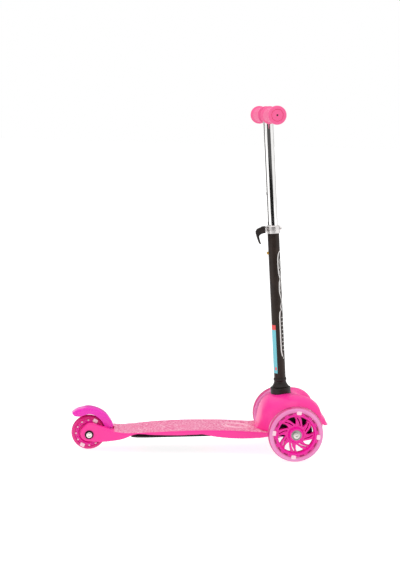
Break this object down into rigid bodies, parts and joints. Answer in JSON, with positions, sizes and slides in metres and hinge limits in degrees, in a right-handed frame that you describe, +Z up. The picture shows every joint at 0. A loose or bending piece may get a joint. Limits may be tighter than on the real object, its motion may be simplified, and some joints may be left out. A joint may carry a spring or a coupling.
{
  "type": "kick scooter",
  "caption": "Child's three-wheel kick scooter that steers by leaning, with a height-adjustable T-bar, a quick-release clamp and a rear fender brake.",
  "frame": {"origin": "on the ground, under the middle of the scooter's outer box", "axes": "+X forward, +Y to the rider's left, +Z up"},
  "size_m": [0.559, 0.2422, 0.7575],
  "materials": {
    "pink_shell": "semi-gloss moulded plastic, fine texture on the deck's top",
    "black_plastic": "satin moulded plastic",
    "bright_steel": "bright zinc-plated",
    "bolt_chrome": "bright plated",
    "bumper_rubber": "matte",
    "black_paint": "satin powder coat",
    "chrome_tube": "mirror",
    "pink_grip": "soft satin foam rubber",
    "brass_button": "polished",
    "clear_pink_fender": "slightly see-through, glossy",
    "clear_pink_tyre": "clear tinted polyurethane",
    "pink_hub": "glossy moulded plastic",
    "led_white": "clear",
    "bearing_steel": "bright ground"
  },
  "bodies": {
    "deck": {"deck_shell": "pink_shell", "under_plate": "black_plastic", "plate_screw_rear": "bright_steel", "plate_screw_front": "bright_steel", "front_housing": "pink_shell", "neck_block": "black_plastic", "lean_bolt": "bright_steel", "lean_nut": "bright_steel", "left_bumper": "bumper_rubber", "right_bumper": "bumper_rubber", "stem_ring": "black_plastic", "stem_cone": "black_plastic", "outer_tube": "black_paint", "clamp_collar": "bright_steel", "clamp_screw": "bright_steel", "clamp_bolt": "bright_steel", "clamp_nut": "bright_steel", "rear_axle_bolt": "bolt_chrome", "rear_axle_nut": "bright_steel", "left_rear_washer": "black_plastic", "right_rear_washer": "black_plastic", "fender_pin": "bright_steel", "fender_spring": "bright_steel"},
    "brake": {"brake_fender": "clear_pink_fender"},
    "handlebar": {"inner_tube": "chrome_tube", "glide_bushing": "black_plastic", "crossbar": "chrome_tube", "left_grip": "pink_grip", "right_grip": "pink_grip"},
    "height_button": {"height_button": "brass_button"},
    "quick_release": {"lever": "black_plastic", "lever_pin": "bright_steel"},
    "truck": {"truck_beam": "black_plastic", "left_kingpin": "bright_steel", "right_kingpin": "bright_steel"},
    "left_knuckle": {"left_knuckle": "black_plastic", "left_axle_bolt": "bolt_chrome", "left_tie_pin": "bright_steel"},
    "right_knuckle": {"right_knuckle": "black_plastic", "right_axle_bolt": "bolt_chrome", "right_tie_pin": "bright_steel"},
    "tie_rod": {"tie_rod": "bright_steel"},
    "left_front_wheel": {"left_front_tyre": "clear_pink_tyre", "left_front_hub": "pink_hub", "left_front_light_ring": "led_white", "left_front_outer_bearing": "bearing_steel", "left_front_inner_bearing": "bearing_steel", "left_front_spacer": "bearing_steel"},
    "right_front_wheel": {"right_front_tyre": "clear_pink_tyre", "right_front_hub": "pink_hub", "right_front_light_ring": "led_white", "right_front_outer_bearing": "bearing_steel", "right_front_inner_bearing": "bearing_steel", "right_front_spacer": "bearing_steel"},
    "rear_wheel": {"rear_tyre": "clear_pink_tyre", "rear_hub": "pink_hub", "rear_light_ring": "led_white", "rear_outer_bearing": "bearing_steel", "rear_inner_bearing": "bearing_steel", "rear_spacer": "bearing_steel"}
  },
  "joints": [
    {"name": "lean", "type": "hinge", "parent": "deck", "child": "truck", "pos_m": [0.1975, 0, 0.078], "axis": [1, 0, 0], "range_deg": [-8, 8], "stiffness_Nm_per_rad": 60, "deforming": ["left_bumper", "right_bumper"]},
    {"name": "left_steer", "type": "hinge", "parent": "truck", "child": "left_knuckle", "pos_m": [0.1975, 0.066, 0.06], "axis": [0, 0, 1], "range_deg": [-8, 8]},
    {"name": "right_steer", "type": "hinge", "parent": "truck", "child": "right_knuckle", "pos_m": [0.1975, -0.066, 0.06], "axis": [0, 0, 1], "range_deg": [-8, 8]},
    {"name": "tie_rod_pivot", "type": "hinge", "parent": "left_knuckle", "child": "tie_rod", "pos_m": [0.1645, 0.066, 0.045], "axis": [0, 0, 1], "range_deg": [-8, 8]},
    {"name": "left_front_spin", "type": "hinge", "parent": "left_knuckle", "child": "left_front_wheel", "pos_m": [0.1975, 0.106, 0.06], "axis": [0, 1, 0], "continuous": true},
    {"name": "right_front_spin", "type": "hinge", "parent": "right_knuckle", "child": "right_front_wheel", "pos_m": [0.1975, -0.106, 0.06], "axis": [0, 1, 0], "continuous": true},
    {"name": "rear_spin", "type": "hinge", "parent": "deck", "child": "rear_wheel", "pos_m": [-0.2415, 0, 0.038], "axis": [0, 1, 0], "continuous": true},
    {"name": "brake_press", "type": "hinge", "parent": "deck", "child": "brake", "pos_m": [-0.1945, 0, 0.0495], "axis": [0, -1, 0], "range_deg": [0, 14], "stiffness_Nm_per_rad": 0.6, "springref_deg": -17.19},
    {"name": "handlebar_height", "type": "slide", "parent": "deck", "child": "handlebar", "axis": [-0.0854, 0, 0.9963], "range_m": [-0.13, 0]},
    {"name": "button_press", "type": "slide", "parent": "deck", "child": "height_button", "axis": [0.9963, 0, 0.0854], "range_m": [0, 0.0035], "stiffness_N_per_m": 600, "springref_m": -0.001},
    {"name": "lever_swing", "type": "hinge", "parent": "deck", "child": "quick_release", "pos_m": [0.13007, -0.012, 0.49123], "axis": [-0.0854, 0, 0.9963], "range_deg": [0, 120]}
  ],
  "couplings": [
    {"joint": "left_steer", "follows": "lean", "ratio": 1},
    {"joint": "right_steer", "follows": "lean", "ratio": 1},
    {"joint": "tie_rod_pivot", "follows": "lean", "ratio": -1}
  ]
}
